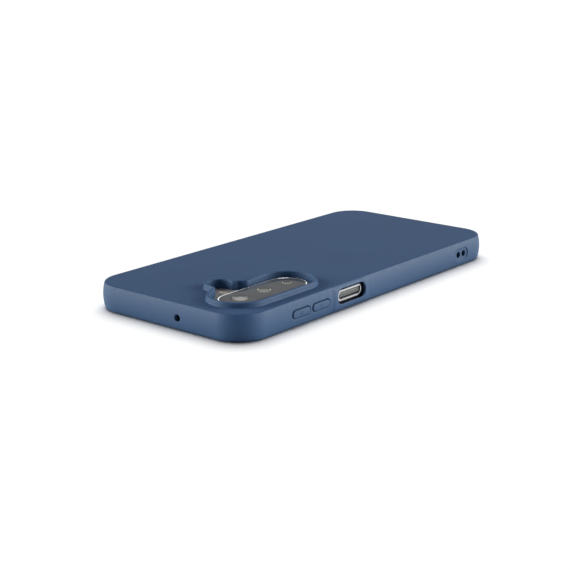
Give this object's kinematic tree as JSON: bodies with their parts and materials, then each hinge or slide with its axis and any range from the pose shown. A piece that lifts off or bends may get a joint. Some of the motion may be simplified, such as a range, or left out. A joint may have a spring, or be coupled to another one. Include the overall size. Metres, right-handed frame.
{
  "type": "smartphone in a protective case",
  "caption": "Flat smartphone lying screen down in a soft silicone case, with a camera window, covered volume keys and a recessed power key.",
  "frame": {"origin": "under the middle of the case, on the plane that its front lip rests on", "axes": "+Z out of the back of the phone, which lies screen down; -Y towards the camera end, +Y towards the charging end; +X towards the side with the keys"},
  "size_m": [0.0804, 0.167, 0.013],
  "materials": {
    "silicone": "soft-touch matt moulded silicone",
    "frame_aluminium": "satin anodised",
    "chrome_trim": "polished",
    "steel": "plain stamped",
    "camera_glass": "polished dark cover",
    "display_glass": "polished black front",
    "back_plastic": "satin",
    "sensor_face": "fine-textured matt",
    "black_plastic": "matt moulded",
    "diffuser": "milky lens",
    "circuit_board": "solder-masked laminate",
    "battery_foil": "wrapped pouch",
    "copper": "bare wound copper",
    "graphite": "smooth graphite film",
    "flex_film": "amber polyimide film"
  },
  "bodies": {
    "phone": {"case_shell": "silicone", "side_frame": "frame_aluminium", "back_cover": "back_plastic", "display_glass": "display_glass", "display_panel": "black_plastic", "mid_plate": "frame_aluminium", "camera_island_frame": "chrome_trim", "camera_cover_glass": "camera_glass", "ultrawide_camera": "black_plastic", "main_camera_body": "black_plastic", "macro_camera": "black_plastic", "flash_window": "diffuser", "flash_led": "diffuser", "power_key_bezel": "chrome_trim", "power_key_switch": "steel", "volume_up_switch": "steel", "volume_down_switch": "steel", "side_key_flex": "flex_film", "battery": "battery_foil", "main_board": "circuit_board", "sub_board": "circuit_board", "processor_shield": "steel", "power_shield": "steel", "upper_bracket": "black_plastic", "lower_bracket": "black_plastic", "nfc_coil": "copper", "graphite_sheet": "graphite", "battery_connector": "black_plastic", "main_flex": "flex_film", "coax_cable": "black_plastic", "upper_screw_1": "steel", "upper_screw_2": "steel", "upper_screw_3": "steel", "upper_screw_4": "steel", "lower_screw_1": "steel", "lower_screw_2": "steel", "loudspeaker_box": "black_plastic", "earpiece_speaker": "black_plastic", "front_camera": "black_plastic", "vibration_motor": "steel", "top_microphone": "steel", "bottom_microphone": "steel", "usb_port_shell": "steel", "usb_port_tongue": "black_plastic", "sim_tray": "frame_aluminium", "sim_reader": "steel"},
    "volume_up_pad": {"volume_up_pad": "silicone"},
    "volume_up_key": {"volume_up_key": "frame_aluminium"},
    "volume_down_pad": {"volume_down_pad": "silicone"},
    "volume_down_key": {"volume_down_key": "frame_aluminium"},
    "power_key": {"power_key": "black_plastic", "fingerprint_sensor": "sensor_face"},
    "lens_barrel": {"main_lens_barrel": "black_plastic"},
    "motor_rotor": {"motor_rotor": "steel"},
    "loudspeaker_cone": {"loudspeaker_diaphragm": "black_plastic"},
    "earpiece_cone": {"earpiece_diaphragm": "black_plastic"}
  },
  "joints": [
    {"name": "volume_up_pad_press", "type": "slide", "parent": "phone", "child": "volume_up_pad", "axis": [-1, 0, 0], "range_m": [0, 0.00025], "stiffness_N_per_m": 4000},
    {"name": "volume_up_key_press", "type": "slide", "parent": "phone", "child": "volume_up_key", "axis": [-1, 0, 0], "range_m": [0, 0.00025]},
    {"name": "volume_down_pad_press", "type": "slide", "parent": "phone", "child": "volume_down_pad", "axis": [-1, 0, 0], "range_m": [0, 0.00025], "stiffness_N_per_m": 4000},
    {"name": "volume_down_key_press", "type": "slide", "parent": "phone", "child": "volume_down_key", "axis": [-1, 0, 0], "range_m": [0, 0.00025]},
    {"name": "power_key_press", "type": "slide", "parent": "phone", "child": "power_key", "axis": [-1, 0, 0], "range_m": [0, 0.00025], "stiffness_N_per_m": 5000},
    {"name": "main_lens_focus", "type": "slide", "parent": "phone", "child": "lens_barrel", "axis": [0, 0, 1], "range_m": [0, 0.0003], "stiffness_N_per_m": 400},
    {"name": "motor_rotor_spin", "type": "hinge", "parent": "phone", "child": "motor_rotor", "pos_m": [-0.025, 0.0595, 0.0063], "axis": [1, 0, 0], "continuous": true},
    {"name": "loudspeaker_cone_stroke", "type": "slide", "parent": "phone", "child": "loudspeaker_cone", "axis": [0, 0, 1], "range_m": [-0.0003, 0.0003], "stiffness_N_per_m": 600},
    {"name": "earpiece_cone_stroke", "type": "slide", "parent": "phone", "child": "earpiece_cone", "axis": [0, 0, 1], "range_m": [-0.00015, 0.00015], "stiffness_N_per_m": 400}
  ],
  "couplings": [
    {"joint": "volume_up_key_press", "follows": "volume_up_pad_press", "ratio": 1},
    {"joint": "volume_down_key_press", "follows": "volume_down_pad_press", "ratio": 1}
  ]
}
